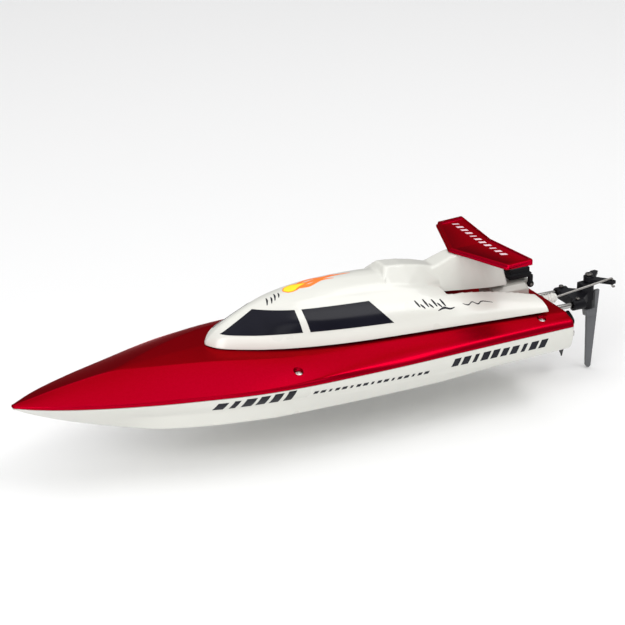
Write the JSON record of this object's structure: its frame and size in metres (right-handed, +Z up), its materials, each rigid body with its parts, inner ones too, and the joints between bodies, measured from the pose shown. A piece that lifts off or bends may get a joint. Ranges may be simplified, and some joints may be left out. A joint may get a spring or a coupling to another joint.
{
  "type": "radio-controlled boat",
  "caption": "Radio-controlled racing boat with a V-bottom hull, lift-off canopy and rear wing, inclined propeller drive and a transom rudder on tubes.",
  "frame": {"origin": "under the middle of the boat's overall length, on the centreline, at the height of the rudder's tip, which is the lowest point", "axes": "+X towards the bow, +Y to port, +Z up, square to the seam between hull and deck"},
  "size_m": [0.3584, 0.0976, 0.0902],
  "materials": {
    "ivory": "glossy moulded",
    "red_paint": "glossy metallic lacquer on plastic",
    "window_black": "glossy",
    "black_plastic": "satin",
    "grey_plastic": "satin",
    "white_plastic": "satin",
    "steel": "polished",
    "brass": "turned",
    "black_rubber": "matt",
    "white_rubber": "matt",
    "battery_wrap": "shrink wrap",
    "circuit_board": "solder mask",
    "motor_steel": "plated"
  },
  "bodies": {
    "hull": {"lower_hull": "ivory", "inner_hatch_cover": "ivory", "tail_housing": "ivory", "upper_deck": "red_paint", "seam_gasket": "black_rubber", "hatch_seal": "black_rubber", "battery_strap": "black_rubber", "port_front_deck_screw": "steel", "starboard_front_deck_screw": "steel", "port_rear_deck_screw": "steel", "starboard_rear_deck_screw": "steel", "port_front_hatch_screw": "steel", "starboard_front_hatch_screw": "steel", "port_rear_hatch_screw": "steel", "starboard_rear_hatch_screw": "steel", "latch_pin": "steel", "port_rudder_tube": "steel", "starboard_rudder_tube": "steel", "port_tube_clamp_screw": "steel", "starboard_tube_clamp_screw": "steel", "motor_mount": "black_plastic", "rudder_bracket": "black_plastic", "servo_body": "black_plastic", "stern_tube": "brass", "aft_bushing": "brass", "fore_bushing": "brass", "port_water_contact": "brass", "starboard_water_contact": "brass", "intake_pipe": "brass", "outlet_nozzle": "brass", "motor_can": "motor_steel", "motor_end_bell": "motor_steel", "cooling_jacket": "motor_steel", "pushrod_boot": "white_rubber", "intake_hose": "white_rubber", "outlet_hose": "white_rubber", "battery_pack": "battery_wrap", "control_board": "circuit_board"},
    "canopy": {"canopy_shell": "ivory", "port_front_window": "window_black", "starboard_front_window": "window_black", "port_rear_window": "window_black", "starboard_rear_window": "window_black", "rear_wing": "red_paint", "front_wing_screw": "steel", "rear_wing_screw": "steel"},
    "latch": {"latch_lever": "black_plastic"},
    "drive": {"propeller": "black_plastic", "propeller_nut": "steel", "propeller_shaft": "steel", "shaft_coupling": "brass", "motor_shaft": "steel"},
    "rudder": {"rudder_blade": "grey_plastic", "rudder_stock": "steel", "tiller_arm": "black_plastic", "tiller_screw": "steel"},
    "pushrod": {"pushrod": "steel"},
    "servo_arm": {"servo_arm": "white_plastic"}
  },
  "joints": [
    {"name": "canopy_lift", "type": "slide", "parent": "hull", "child": "canopy", "axis": [0, 0, 1], "range_m": [0, 0.08]},
    {"name": "latch_turn", "type": "hinge", "parent": "hull", "child": "latch", "pos_m": [-0.12636, 0, 0.0605], "axis": [0, -1, 0], "range_deg": [0, 90]},
    {"name": "propeller_spin", "type": "hinge", "parent": "hull", "child": "drive", "pos_m": [-0.15226, 0, 0.0239], "axis": [0.9936, 0, 0.1132], "continuous": true},
    {"name": "rudder_turn", "type": "hinge", "parent": "hull", "child": "rudder", "pos_m": [-0.16776, 0, 0.0481], "axis": [0, 0, 1], "range_deg": [-25, 25]},
    {"name": "pushrod_swivel", "type": "hinge", "parent": "rudder", "child": "pushrod", "pos_m": [-0.17716, 0.01, 0.0543], "axis": [0, 0, 1], "range_deg": [-20, 20]},
    {"name": "servo_arm_turn", "type": "hinge", "parent": "hull", "child": "servo_arm", "pos_m": [-0.10276, 0.02, 0.0451], "axis": [0, 0, 1], "range_deg": [-26, 26]}
  ],
  "couplings": [
    {"joint": "pushrod_swivel", "follows": "rudder_turn", "ratio": -0.78},
    {"joint": "servo_arm_turn", "follows": "rudder_turn", "ratio": -1}
  ]
}
